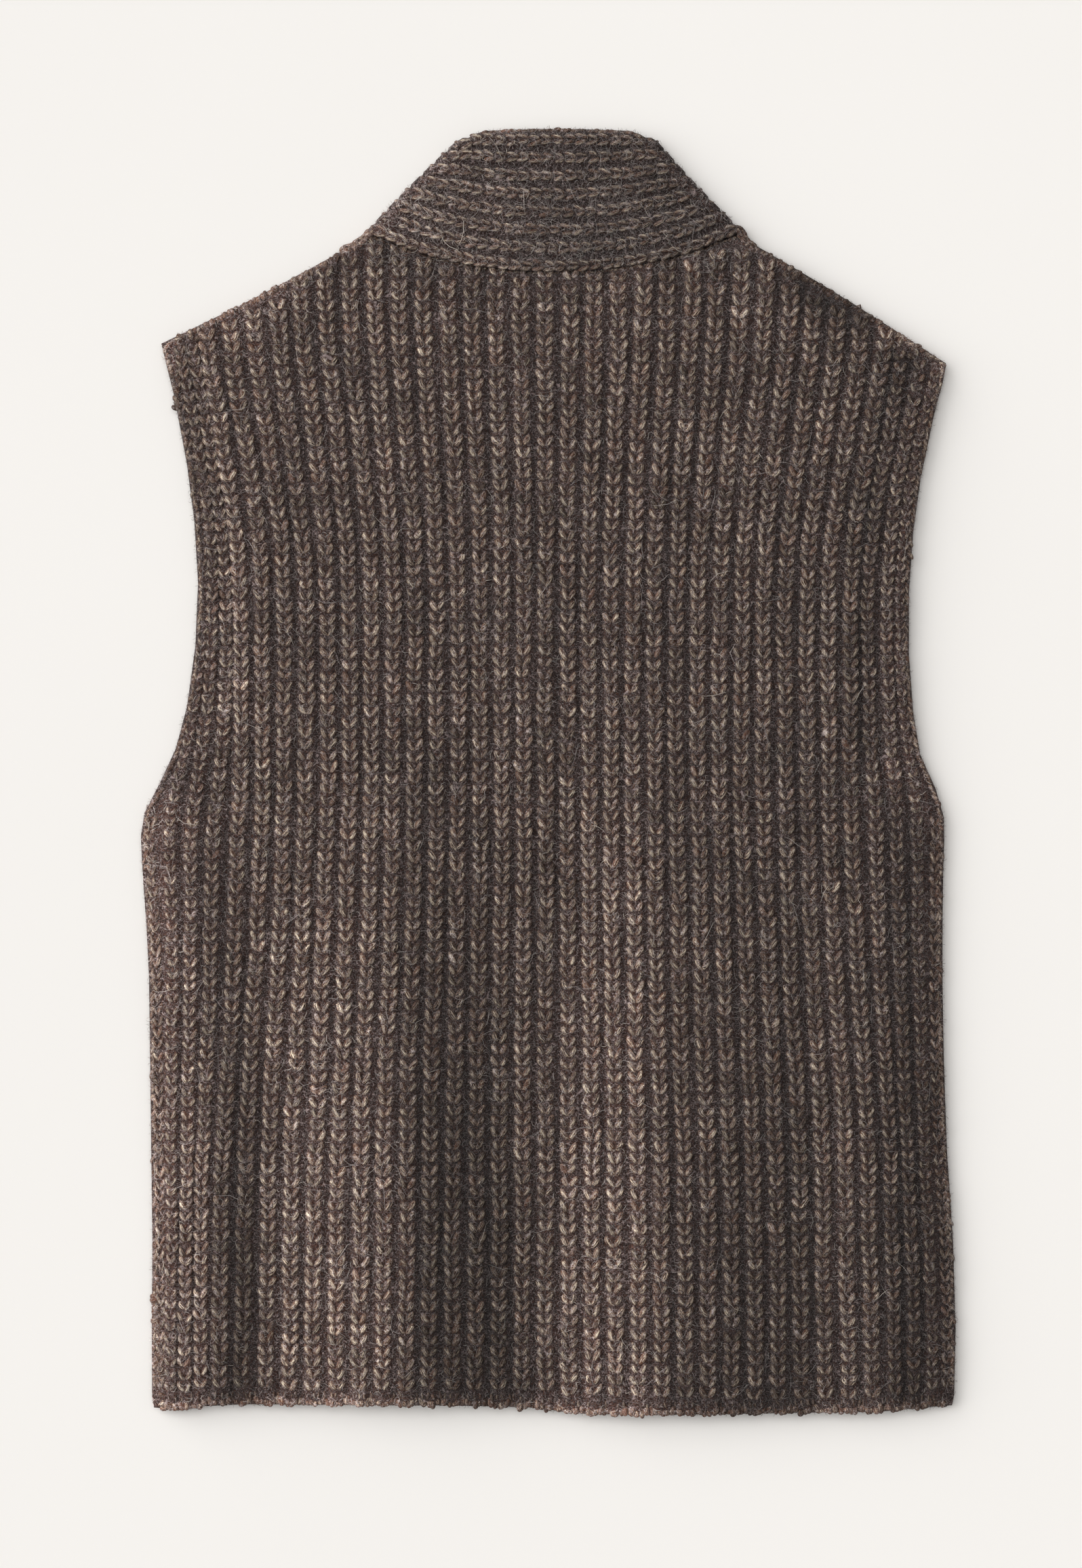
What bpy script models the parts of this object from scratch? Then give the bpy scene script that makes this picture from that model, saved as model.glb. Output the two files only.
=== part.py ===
"""Sleeveless shawl-collar cardigan in chunky rib knit, laid flat on its fronts with the back up.

The wearer's left is at -X, the collar is at +Y, and +Z points out of the surface it lies on.
Sizes and tables are in millimetres, and a mesh is scaled to metres when it is made.
Two layers lie on each other: the fronts and the front half of the collar on the surface, and over
them the back and the back half of the collar, which folds over at the two sides of the neck.
"""

import math

import bmesh
import bpy

MM = 0.001

# Walls. The lower layer is plain, because it rests flat. The upper layer carries the ribs.
FRONT_WALL = 4.6
SEAM_GAP = 0.3
BACK_WALL = 3.4
RIB_HEIGHT = 2.0
UPPER_FLOOR = FRONT_WALL + SEAM_GAP  # the underside of the upper layer
RIM_WALL = 0.5  # what is left of the wall at a rounded edge

# Body. The outline table gives the two side edges, from the hem to the shoulder tips.
OUTLINE = (
    # y, left x, right x
    (-369.5, -225.5, 230.5),
    (-362.0, -227.6, 232.4),
    (-352.0, -228.4, 234.3),
    (-286.0, -227.4, 233.6),
    (-200.0, -228.5, 227.8),
    (-106.0, -229.7, 226.2),
    (-59.0, -233.2, 226.8),
    (-34.0, -234.4, 227.6),
    (-21.0, -231.6, 227.0),
    (-10.0, -225.2, 222.6),
    (4.0, -218.0, 214.9),
    (20.0, -211.4, 211.4),
    (50.0, -205.1, 207.6),
    (90.0, -201.2, 206.6),
    (128.0, -201.6, 208.3),
    (167.0, -206.3, 213.6),
    (198.0, -211.0, 219.6),
    (222.0, -216.5, 226.2),
    (234.0, -219.6, 228.6),
    (246.5, -222.6, 224.5),
)
HEM = (
    # x, y
    (-226.0, -365.4),
    (-208.0, -366.6),
    (-194.0, -363.4),
    (-60.0, -363.8),
    (-8.0, -365.4),
    (16.0, -368.8),
    (60.0, -369.4),
    (190.0, -367.6),
    (232.0, -364.0),
)
SHOULDERS = {
    # side: tip, neck point, rise of the seam's middle over the straight line
    -1: ((-222.6, 246.0), (-102.5, 308.2), -1.5),
    1: ((228.6, 234.5), (109.0, 308.3), 1.5),
}
NECK_CENTRE_X = 3.0
NECK_CENTRE_Y = 286.8
NECK_DEPTH = 22.0  # how far the back neckline dips below the neck points
NECK_HALF_WIDTH = 107.0
NECK_CURVE = 2.2  # above 2 the neckline is flat in the middle and steep at its ends

# Ribs of the back. They run from the hem to the shoulders and fan out a little at the top.
CENTRE_RIB_X = -1.6
FULL_RIBS = 14  # ribs on each side of the centre one that run the whole length
CREST_HALF = 0.27  # half the flat top of a rib, as a share of the pitch
RIB_PITCH = (
    # y, pitch
    (-369.5, 13.4),
    (-219.0, 13.25),
    (-114.0, 12.8),
    (-43.0, 12.6),
    (-8.0, 12.5),
    (97.0, 12.5),
    (132.0, 12.65),
    (167.0, 13.0),
    (202.0, 13.4),
    (237.0, 13.8),
    (272.0, 14.05),
)
SIDE_ZONE = 43.5  # from the last full rib to the side seam
SIDE_COLUMNS = (
    # distance from a side seam, the same from an armhole, rib height as a share, inside has it too
    (40.2, 40.2, 0.0, True),
    (37.2, 36.8, 1.0, False),
    (31.2, 30.8, 1.0, False),
    (28.8, 26.8, 0.0, True),
    (26.4, 21.6, 1.0, False),
    (20.6, 15.6, 1.0, False),
    (18.2, 12.4, 0.0, True),
    (15.8, 9.4, 1.0, False),
    (10.8, 6.0, 1.0, False),
    (8.0, 3.6, 0.0, True),
    (4.2, 2.2, 0.0, False),
    (1.1, 1.0, 0.0, True),
    (0.0, 0.0, 0.0, True),
)
SIDE_ROLL = 28.0  # how far in from a side seam the back starts to turn down
EDGE_ROLL = 6.5  # the same at the hem, the neck, the shoulders and the armholes
ARMHOLE_Y = 20.0  # above this height the side edges are armholes
UNDERARM = 50.0  # how far below it the side seam's columns and its wide turn are reached
ROW_HEIGHTS = (-318, -262, -206, -150, -100, -66, -42, -26, -12, 2, 18, 36, 60, 94, 132, 170, 206)
ROWS_BELOW_TOP = (36.0, 14.0, 6.5, 3.2, 1.1, 0.0)
ROWS_ABOVE_HEM = (0.0, 1.1, 3.2, 6.5)

# Soft folds of the back. Each is highest at the hem and fades out towards its head.
FOLDS = (
    # hem x, head x, head y, height, reach to the left, reach to the right
    (-82.0, -96.0, 60.0, 5.6, 88.0, 76.0),
    (64.0, 74.0, 90.0, 5.0, 66.0, 150.0),
    (-198.0, -200.0, 10.0, 2.2, 30.0, 44.0),
    (194.0, 190.0, 30.0, 1.8, 52.0, 34.0),
)
FOLD_RISE = 1.3  # above 1 a fold starts flat at its head
HEM_Y = -366.0

# Collar and front bands: one strip, from the left hem round the neck to the right hem.
COLLAR_TOP_Y = 369.4
COLLAR_TOP_BOW = 1.6  # how far the middle of its top edge rises over the corners
COLLAR_FOLDS = (
    # side, seam end of the fold's axis, free-edge end, way out of the fold, bow of the axis
    (-1, (-100.8, 309.4), (-46.0, 364.2), (-0.96, 0.05), 1.0),
    (1, (107.8, 309.4), (55.8, 364.4), (0.96, 0.02), -1.2),
)
COLLAR_RIBS = 8
FIRST_COLLAR_RIB = 0.04  # where the ribs' crests lie across the strip, as shares of its width
COLLAR_RIB_STEP = 0.126
COLLAR_CREST_HALF = 0.034
COLLAR_SEAM_CREST = 0.012  # where the first rib's flat top starts, just inside the seam
COLLAR_INNER_STEP = 3  # the plain inside has one column for every three outside
BACK_STATIONS = (0.03, 0.09, 0.18, 0.29, 0.4, 0.5, 0.6, 0.71, 0.82, 0.91, 0.97)
FOLD_ANGLES = (90, 50, 15, -20, -55, -90)
FOLD_SEAM_RISE = 1.4  # how far the strip's seam leaves the neckline where the folds begin
SEAM_RISE_REACH = 0.12  # how far that goes from a fold, as a share of the way across
CORNER_REACH = 0.06  # the same for the rounding of the top corners
SEAM_ROLL = 2.2  # rounding of the strip at its seam and at its free edge
FREE_ROLL = 4.5
THIN_EDGE = 0.35  # what is left of the wall there, as a share
BAND_WIDTH = 40.0
FRONT_GAP = 0.6  # between the two front edges, which meet and don't overlap
V_BOTTOM_Y = 66.0
V_CURVE = 1.3  # above 1 the front neckline leaves the bands gently
EDGES_MEET_Y = 185.0  # where the collar's two free edges reach the centre front
FREE_EDGE_CURVE = 1.1
FRONT_STATIONS = (300, 272, 244, 214, 184, 150, 116, 90, 66, -40, -150, -260)
FRONT_EDGE_ROUND = 2.4  # rounding of the fronts' lower edges
FRONT_INSET = 1.2  # the fronts lie this far inside the back's outline
FRONT_HEM_POINTS = (0.0, 0.3, 0.6, 0.9, 0.97)  # as shares of the way from band to side
FRONT_SHOULDER_POINTS = (0.03, 0.3, 0.6, 0.85, 0.97)  # as shares of the way from tip to neck
FRONT_CORNER_CUT = 4.0  # rounding of the fronts' corners at hem and shoulder tip

KNIT_COLOUR = (0.078, 0.058, 0.049, 1.0)


def at(table, where, column=1):
    """Reads a table of rows sorted by their first value, straight between two rows."""
    if where <= table[0][0]:
        return table[0][column]
    for low, high in zip(table, table[1:]):
        if where <= high[0]:
            share = (where - low[0]) / (high[0] - low[0])
            return low[column] + (high[column] - low[column]) * share
    return table[-1][column]


def between(start, end, share):
    return tuple(a + (b - a) * share for a, b in zip(start, end))


def round_over(distance, reach):
    """From 0 at an edge to 1 a reach inside it, as a quarter of an ellipse rises."""
    inside = 1 - min(max(distance / reach, 0.0), 1.0)
    return math.sqrt(max(0.0, 1 - inside * inside))


def smooth(share):
    share = min(max(share, 0.0), 1.0)
    return share * share * (3 - 2 * share)


def make_material(name, colour):
    material = bpy.data.materials.new(name)
    material.use_nodes = True
    shader = material.node_tree.nodes["Principled BSDF"]
    shader.inputs["Base Color"].default_value = colour
    shader.inputs["Roughness"].default_value = 0.95
    shader.inputs["Metallic"].default_value = 0.0
    return material


def make_object(name, bm, material):
    """Turns the finished bmesh, in millimetres, into a named object in metres."""
    bmesh.ops.recalc_face_normals(bm, faces=bm.faces)
    bmesh.ops.scale(bm, vec=(MM, MM, MM), verts=bm.verts)
    mesh = bpy.data.meshes.new(name)
    bm.to_mesh(mesh)
    bm.free()
    mesh.shade_smooth()
    mesh.set_sharp_from_angle(angle=math.radians(50))
    mesh.materials.append(material)
    obj = bpy.data.objects.new(name, mesh)
    bpy.context.scene.collection.objects.link(obj)
    return obj


def wall_between(outer, inner, kept):
    """A closed wall from two grids with the same rows.

    outer has every column and inner has only those numbered in kept.
    """
    bm = bmesh.new()
    out = [[bm.verts.new(p) for p in row] for row in outer]
    inn = [[bm.verts.new(p) for p in row] for row in inner]
    for low, high in zip(out, out[1:]):
        for c in range(len(low) - 1):
            bm.faces.new((low[c], low[c + 1], high[c + 1], high[c]))
    for low, high in zip(inn, inn[1:]):
        for c in range(len(low) - 1):
            bm.faces.new((low[c], high[c], high[c + 1], low[c + 1]))
    for side in (0, -1):
        for row in range(len(out) - 1):
            bm.faces.new((out[row][side], out[row + 1][side], inn[row + 1][side], inn[row][side]))
    for end in (0, -1):
        for c, (first, last) in enumerate(zip(kept, kept[1:])):
            rim = [inn[end][c], *out[end][first : last + 1], inn[end][c + 1]]
            bm.faces.new(rim)
    return bm


def neckline_y(x):
    return NECK_CENTRE_Y + NECK_DEPTH * (abs(x - NECK_CENTRE_X) / NECK_HALF_WIDTH) ** NECK_CURVE


def shoulder_point(side, share):
    """The shoulder seam's point at a share of the way from its tip to the neck."""
    tip, neck, rise = SHOULDERS[side]
    x, y = between(tip, neck, share)
    return x, y + rise * math.sin(math.pi * min(max(share, 0.0), 1.0))


def top_y(x):
    """The upper outline of the back: a shoulder, the neckline and the other shoulder."""
    side = -1 if x < NECK_CENTRE_X else 1
    (tip_x, _), (neck_x, _), _ = SHOULDERS[side]
    if abs(x) < abs(neck_x):
        return neckline_y(x)
    return shoulder_point(side, (x - tip_x) / (neck_x - tip_x))[1]


def row_shares():
    """How far up each row of the back lies, from 0 at the hem to 1 at the top."""
    length = NECK_CENTRE_Y - HEM_Y
    shares = [above / length for above in ROWS_ABOVE_HEM]
    shares += [(y - HEM_Y) / length for y in ROW_HEIGHTS]
    shares += [1 - below / length for below in ROWS_BELOW_TOP]
    return shares


def back_columns():
    """The columns of the back as (side, place, height, inside).

    A full rib's column has side 0 and its place in rib pitches from the centre rib. A column beside
    an edge has side -1 or 1 and its distances from a side seam and from an armhole. height is the
    rib's height as a share, and inside says whether the plain inside has the column too.
    """
    ribs = []
    for rib in range(-FULL_RIBS, FULL_RIBS + 1):
        ribs.append((0, rib - CREST_HALF, 1.0, False))
        ribs.append((0, rib + CREST_HALF, 1.0, False))
        if rib < FULL_RIBS:
            ribs.append((0, rib + 0.5, 0.0, True))
    beside = [(column[:2], *column[2:]) for column in SIDE_COLUMNS]
    left = [(-1, *column) for column in reversed(beside)]
    right = [(1, *column) for column in beside]
    return left + ribs + right


def armhole_share(y):
    """0 beside the side seams and 1 beside the armholes."""
    return smooth(1 - (ARMHOLE_Y - y) / UNDERARM)


def back_point(side, place, share):
    """(x, y, distance from the side edge, narrowing of the side zone) of one grid point."""
    x, narrowing = 0.0, 1.0
    for _ in range(4):  # x and y each need the other, and settle in a few rounds
        y = at(HEM, x) + (top_y(x) - at(HEM, x)) * share
        pitch = at(RIB_PITCH, y)
        edges = (at(OUTLINE, y, 1), at(OUTLINE, y, 2))
        if side == 0:
            x = CENTRE_RIB_X + place * pitch
        else:
            edge = edges[0] if side < 0 else edges[1]
            last_rib = CENTRE_RIB_X + side * (FULL_RIBS + CREST_HALF) * pitch
            narrowing = abs(edge - last_rib) / SIDE_ZONE
            inset = place[0] + (place[1] - place[0]) * armhole_share(y)
            x = edge - side * inset * narrowing
    distance = min(x - edges[0], edges[1] - x)
    return x, y, distance, min(narrowing, 1.0)


def fold_lift(x, y):
    """How far the soft folds lift the back off the fronts."""
    lift = 0.0
    for hem_x, head_x, head_y, height, left, right in FOLDS:
        along = min(max((head_y - y) / (head_y - HEM_Y), 0.0), 1.0)
        centre = head_x + (hem_x - head_x) * along
        reach = left if x < centre else right
        across = min(abs(x - centre) / reach, 1.0)
        lift += height * along**FOLD_RISE * math.cos(across * math.pi / 2) ** 2
    return lift


def back_thickness(distance, from_end, rib, narrowing, y):
    """The wall at a point, thinner towards the edges, where the cloth turns down."""
    roll = SIDE_ROLL + (EDGE_ROLL - SIDE_ROLL) * armhole_share(y)
    turn = round_over(distance, roll) * round_over(from_end, EDGE_ROLL)
    full = BACK_WALL + RIB_HEIGHT * rib * narrowing - RIM_WALL
    return RIM_WALL + full * turn


def make_back(material):
    columns = back_columns()
    kept = [c for c, column in enumerate(columns) if column[3]]
    outer, inner = [], []
    for share in row_shares():
        outer_row, inner_row = [], []
        for side, place, rib, inside in columns:
            x, y, distance, narrowing = back_point(side, place, share)
            from_end = min(y - at(HEM, x), top_y(x) - y)
            low = UPPER_FLOOR + fold_lift(x, y)
            wall = back_thickness(distance, from_end, rib, narrowing, y)
            outer_row.append((x, y, low + wall))
            if inside:
                inner_row.append((x, y, low))
        outer.append(outer_row)
        inner.append(inner_row)
    return make_object("back", wall_between(outer, inner, kept), material)


def collar_columns():
    """Places across the strip, from 0 at its seam to 1 at its free edge, each with a rib height."""
    places = [(0.0, 0.0)]
    for rib in range(COLLAR_RIBS):
        crest = FIRST_COLLAR_RIB + rib * COLLAR_RIB_STEP
        places.append((max(crest - COLLAR_CREST_HALF, COLLAR_SEAM_CREST), 1.0))
        places.append((crest + COLLAR_CREST_HALF, 1.0))
        places.append((crest + COLLAR_RIB_STEP / 2, 0.0))
    places[-1] = (1.0, 0.0)
    return places


def front_seam_x(y, neck_x):
    """Half the width of the front neckline: a curve down to the bands, then straight."""
    if y <= V_BOTTOM_Y:
        return BAND_WIDTH
    rise = min((y - V_BOTTOM_Y) / (SHOULDERS[-1][1][1] - V_BOTTOM_Y), 1.0)
    return BAND_WIDTH + (neck_x - BAND_WIDTH) * math.sin(math.pi / 2 * rise) ** V_CURVE


def free_edge_x(y, corner):
    """Half the width of the gap between the collar's free edges, which end at its top corners."""
    rise = max(y - EDGES_MEET_Y, 0.0) / (corner[1] - EDGES_MEET_Y)
    return max(abs(corner[0]) * rise**FREE_EDGE_CURVE, FRONT_GAP / 2)


def front_stations(side, seam, corner):
    """Sections of the strip on the fronts, from the fold down to the hem, as (seam, edge)."""
    made = []
    for seam_y in FRONT_STATIONS:
        spread = max(seam_y - EDGES_MEET_Y, 0.0) / (seam[1] - EDGES_MEET_Y)
        edge_y = seam_y + (corner[1] - seam[1]) * spread
        seam_x = side * front_seam_x(seam_y, abs(seam[0]))
        made.append(((seam_x, seam_y), (side * free_edge_x(edge_y, corner), edge_y)))
    hem = []
    for x in (side * BAND_WIDTH, side * FRONT_GAP / 2):
        hem.append((x, at(HEM, x) + FRONT_INSET))
    return made + [tuple(hem)]


def back_stations():
    """Sections of the strip behind the neck, from the left fold to the right one."""
    (left_seam, left_corner), (right_seam, right_corner) = [row[1:3] for row in COLLAR_FOLDS]
    made = []
    for share in BACK_STATIONS:
        from_fold = min(share, 1 - share)
        seam_x = left_seam[0] + (right_seam[0] - left_seam[0]) * share
        seam_rise = FOLD_SEAM_RISE * (1 - smooth(from_fold / SEAM_RISE_REACH))
        seam_y = neckline_y(seam_x) + SEAM_GAP + seam_rise
        edge_x, corner_y = between(left_corner, right_corner, share)
        top_rise = (COLLAR_TOP_Y - COLLAR_TOP_BOW - corner_y) * smooth(from_fold / CORNER_REACH)
        edge_y = corner_y + top_rise + COLLAR_TOP_BOW * math.sin(math.pi * share)
        made.append(((seam_x, seam_y), (edge_x, edge_y)))
    return made


def collar_sections():
    """Every section of the strip: seam point, free-edge point, turn, way out and bow.

    A turn of 90 degrees is the upper layer and -90 the lower one. Between them the strip folds.
    """
    flat = ((0.0, 0.0), 0.0)
    halves = []
    for side, seam, corner, outward, bow in COLLAR_FOLDS:
        half = [(s, e, -90, *flat) for s, e in reversed(front_stations(side, seam, corner))]
        half += [(seam, corner, angle, outward, bow) for angle in reversed(FOLD_ANGLES)]
        halves.append(half)
    left, right = halves
    across = [(s, e, 90, *flat) for s, e in back_stations()]
    return left + across + right[::-1]


def collar_wall_point(section, place, rib):
    """(outer point, inner point) of the strip at one place across one section."""
    seam, edge, degrees, outward, bow = section
    x, y = between(seam, edge, place)
    turn = math.radians(degrees)
    bulge = bow * math.sin(math.pi * place)
    length = math.dist(seam, edge)
    ends = round_over(place * length, SEAM_ROLL) * round_over((1 - place) * length, FREE_ROLL)
    upper_wall = (BACK_WALL + RIB_HEIGHT * rib) * (THIN_EDGE + (1 - THIN_EDGE) * ends)
    wall = FRONT_WALL + (upper_wall - FRONT_WALL) * smooth((1 + math.sin(turn)) / 2)
    inner_radius = SEAM_GAP / 2
    points = []
    for radius in (inner_radius + wall, inner_radius):
        reach = radius * math.cos(turn) + bulge
        height = FRONT_WALL + inner_radius + radius * math.sin(turn)
        points.append((x + outward[0] * reach, y + outward[1] * reach, height))
    return points


def make_collar(material):
    columns = collar_columns()
    kept = list(range(0, len(columns), COLLAR_INNER_STEP))
    outer, inner = [], []
    for section in collar_sections():
        pairs = [collar_wall_point(section, place, rib) for place, rib in columns]
        outer.append([pair[0] for pair in pairs])
        inner.append([pairs[c][1] for c in kept])
    return make_object("collar", wall_between(outer, inner, kept), material)


def front_outline(side):
    """The front's outline, from the band's hem corner round the side and shoulder to the neck."""
    column = 1 if side < 0 else 2
    band_x = side * (BAND_WIDTH + SEAM_GAP)
    side_x = at(OUTLINE, HEM_Y, column) - side * FRONT_INSET
    points = []
    for share in FRONT_HEM_POINTS:
        x = band_x + (side_x - band_x) * share
        points.append((x, at(HEM, x) + FRONT_INSET))
    tip_y = SHOULDERS[side][0][1]
    for row in OUTLINE:
        if points[0][1] + FRONT_CORNER_CUT / 2 < row[0] < tip_y - FRONT_CORNER_CUT:
            points.append((row[column] - side * FRONT_INSET, row[0]))
    for share in FRONT_SHOULDER_POINTS:
        x, y = shoulder_point(side, share)
        points.append((x, y - FRONT_INSET))
    neck_x = next(abs(seam[0]) for fold_side, seam, *_ in COLLAR_FOLDS if fold_side == side)
    for y in FRONT_STATIONS:
        if y >= V_BOTTOM_Y:
            points.append((side * (front_seam_x(y, neck_x) + SEAM_GAP), y))
    return points


def make_front(name, side, material):
    """A flat panel from its outline, with the edges that meet the surface rounded."""
    bm = bmesh.new()
    face = bm.faces.new([bm.verts.new((x, y, 0.0)) for x, y in front_outline(side)])
    raised = bmesh.ops.extrude_face_region(bm, geom=[face])["geom"]
    top = [item for item in raised if isinstance(item, bmesh.types.BMVert)]
    bmesh.ops.translate(bm, vec=(0, 0, FRONT_WALL), verts=top)
    low_edges = [edge for edge in bm.edges if all(v.co.z == 0 for v in edge.verts)]
    bmesh.ops.bevel(
        bm,
        geom=low_edges,
        offset=FRONT_EDGE_ROUND,
        offset_type="OFFSET",
        segments=3,
        profile=0.5,
        affect="EDGES",
        clamp_overlap=True,
        material=-1,
    )
    return make_object(name, bm, material)


def main():
    for obj in list(bpy.data.objects):
        bpy.data.objects.remove(obj)
    knit = make_material("brown_marl_knit", KNIT_COLOUR)
    make_back(knit)
    make_collar(knit)
    make_front("front_left", -1, knit)
    make_front("front_right", 1, knit)


main()
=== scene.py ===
import math

import bmesh
import bpy
import numpy as np
from mathutils import Matrix, Vector
from mathutils.bvhtree import BVHTree


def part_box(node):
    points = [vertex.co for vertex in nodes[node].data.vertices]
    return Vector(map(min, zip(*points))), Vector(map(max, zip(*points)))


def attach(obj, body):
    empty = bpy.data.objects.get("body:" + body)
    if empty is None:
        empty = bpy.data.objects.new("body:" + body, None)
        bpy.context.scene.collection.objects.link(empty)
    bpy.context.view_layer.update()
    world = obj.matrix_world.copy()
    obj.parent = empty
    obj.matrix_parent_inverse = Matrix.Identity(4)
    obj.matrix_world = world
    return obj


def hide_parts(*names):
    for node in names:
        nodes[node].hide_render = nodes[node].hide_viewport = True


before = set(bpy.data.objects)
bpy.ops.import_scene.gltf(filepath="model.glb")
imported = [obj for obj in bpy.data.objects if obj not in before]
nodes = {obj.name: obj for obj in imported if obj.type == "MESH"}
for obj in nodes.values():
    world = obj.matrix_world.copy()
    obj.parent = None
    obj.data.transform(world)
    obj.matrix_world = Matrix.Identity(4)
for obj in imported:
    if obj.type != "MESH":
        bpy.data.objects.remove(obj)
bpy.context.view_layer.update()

# A sleeveless shawl-collar cardigan in chunky rib knit, laid flat on its fronts with the back up.
# The collar is at +Y and the wearer's left at -X. Sizes are in millimetres until a mesh is made.
mm = 0.001
rng = np.random.default_rng(7)


def unit(vectors):
    return vectors / np.maximum(np.linalg.norm(vectors, axis=-1, keepdims=True), 1e-9)


def smooth(share):
    share = np.clip(share, 0.0, 1.0)
    return share * share * (3 - 2 * share)


def linear(hexColour):
    channels = [int(hexColour[i : i + 2], 16) / 255 for i in (1, 3, 5)]
    return [c / 12.92 if c <= 0.04045 else ((c + 0.055) / 1.055) ** 2.4 for c in channels] + [1.0]


def addNode(tree, kind, settings=None, values=None, links=None):
    # a link comes from a socket, or from a node's first one
    node = tree.nodes.new(kind)
    for name, value in (settings or {}).items():
        setattr(node, name, value)
    for socket, value in (values or {}).items():
        node.inputs[socket].default_value = value
    for socket, source in (links or {}).items():
        tree.links.new(getattr(source, "outputs", [source])[0], node.inputs[socket])
    return node


def setRamp(node, stops):
    ramp = node.color_ramp
    while len(ramp.elements) < len(stops):
        ramp.elements.new(1.0)
    for element, (place, colour) in zip(ramp.elements, stops):
        element.position = place
        element.color = linear(colour)


def newMaterial(name, roughness):
    material = bpy.data.materials.new(name)
    material.use_nodes = True
    shader = material.node_tree.nodes["Principled BSDF"]
    shader.inputs["Roughness"].default_value = roughness
    shader.inputs["IOR"].default_value = 1.54  # wool fibre
    shader.inputs["Specular IOR Level"].default_value = 0.12
    return material, material.node_tree, shader


# Settings that several nodes share. An eased range goes from 0 to 1, or back if From Max is less.
easedRange = {"interpolation_type": "SMOOTHSTEP"}
product = {"operation": "MULTIPLY"}
total = {"operation": "ADD"}
scaled = {"operation": "SCALE"}
unsigned = {"operation": "ABSOLUTE"}
colourMix = {"data_type": "RGBA"}

fibreWeb = {
    "bends": (1.9, 2.9, 4.6),  # mm, from bend to bend, in three layers
    "width": 0.23,  # mm; a real fibre is 0.03 mm, and these are drawn coarse enough to show
    "change": 0.45,  # how much the noise usually changes in one bend
    "flatten": 0.3,  # a fibre lies over several stitches, so height hardly changes the pattern
    "kink": 0.9,
    # which noise draws the fibres, and where along them they start and are full
    "fades": (("Red", 0.47, 0.6), ("Green", 0.53, 0.4)),
}


def addFibreWeb(tree):
    # Curly fibres lying every way: lines of equal value in three noises, each fading in and out.
    place = addNode(tree, "ShaderNodeTexCoord")
    flat = addNode(tree, "ShaderNodeVectorMath", product,
                   {1: (1.0, 1.0, fibreWeb["flatten"])}, {0: place.outputs["Object"]})
    web = None
    for bend in fibreWeb["bends"]:
        noise = addNode(tree, "ShaderNodeTexNoise",
                        values={"Scale": 1 / (bend * mm), "Detail": 0.0,
                                "Distortion": fibreWeb["kink"]},
                        links={"Vector": flat})
        parts = addNode(tree, "ShaderNodeSeparateColor", links={0: noise.outputs["Color"]})
        halfLine = fibreWeb["change"] * fibreWeb["width"] / bend
        for channel, start, full in fibreWeb["fades"]:
            off = addNode(tree, "ShaderNodeMath", {"operation": "SUBTRACT"}, {1: 0.5},
                          {0: parts.outputs[channel]})
            away = addNode(tree, "ShaderNodeMath", unsigned, links={0: off})
            line = addNode(tree, "ShaderNodeMapRange", easedRange,
                           {"From Min": halfLine, "From Max": 0.0}, {"Value": away})
            fade = addNode(tree, "ShaderNodeMapRange", easedRange,
                           {"From Min": start, "From Max": full}, {"Value": parts.outputs["Blue"]})
            drawn = addNode(tree, "ShaderNodeMath", product, links={0: line, 1: fade})
            if web is not None:
                drawn = addNode(tree, "ShaderNodeMath", {"operation": "MAXIMUM"},
                                links={0: web, 1: drawn})
            web = drawn
    return web


def readAttribute(tree, name):
    # the attribute, and its three numbers
    whole = addNode(tree, "ShaderNodeAttribute", {"attribute_name": name}).outputs["Vector"]
    return whole, addNode(tree, "ShaderNodeSeparateXYZ", links={0: whole}).outputs


def finishWool(tree, shader, look, colour, fine, lightness):
    # The finer fibres over a colour, then its lightness with the painted shade, and the relief of
    # both.
    web = addNode(tree, "ShaderNodeMath", product, {1: look["web"]}, {0: addFibreWeb(tree)})
    hairy = addNode(tree, "ShaderNodeMix", colourMix, {"B": linear(look["fibre"])},
                    {"A": colour, "Factor": web})
    toned = addNode(tree, "ShaderNodeVectorMath", scaled,
                    links={0: hairy.outputs["Result"], "Scale": lightness})
    height = addNode(tree, "ShaderNodeMath", total, links={0: fine, 1: web})
    bump = addNode(tree, "ShaderNodeBump",
                   values={"Strength": look["bump"], "Distance": look["relief"] * mm},
                   links={"Height": height})
    tree.links.new(toned.outputs[0], shader.inputs["Base Color"])
    tree.links.new(bump.outputs[0], shader.inputs["Normal"])
    shader.inputs["Sheen Weight"].default_value = look["sheen"]
    shader.inputs["Sheen Roughness"].default_value = 0.6


yarnLook = {
    "dark": "#18100d",
    "brown": "#4f372f",
    "grey": "#765b50",
    "pale": "#ad9580",
    # the pale streak's colour: marl plies and a painted highlight
    "cream": "#d9c9b2",
    "rust": "#734b39",
    "fibre": "#d3c6c4",
    "web": 0.55,  # how strongly the fibres over it show
    "plyWidth": 0.46,  # mm, one bundle of fibres in the yarn
    "plyLength": 3.2,
    "yarnHalf": 1.8,
    "legHalf": 3.7,
    "twist": 0.3,
    "streak": (0.46, 0.6),  # which plies are pale
    # the streak is kept to a leg's crest and middle as a painted highlight
    "crest": {"X": (0.75, 0.2), "Y": (0.9, 0.4)},  # where the streak ends and is full, on a leg
    "bump": 0.9,
    "relief": 0.8,  # mm
    "sheen": 0.12,
    "sheenTint": "#cfc6b8",
}


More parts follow.
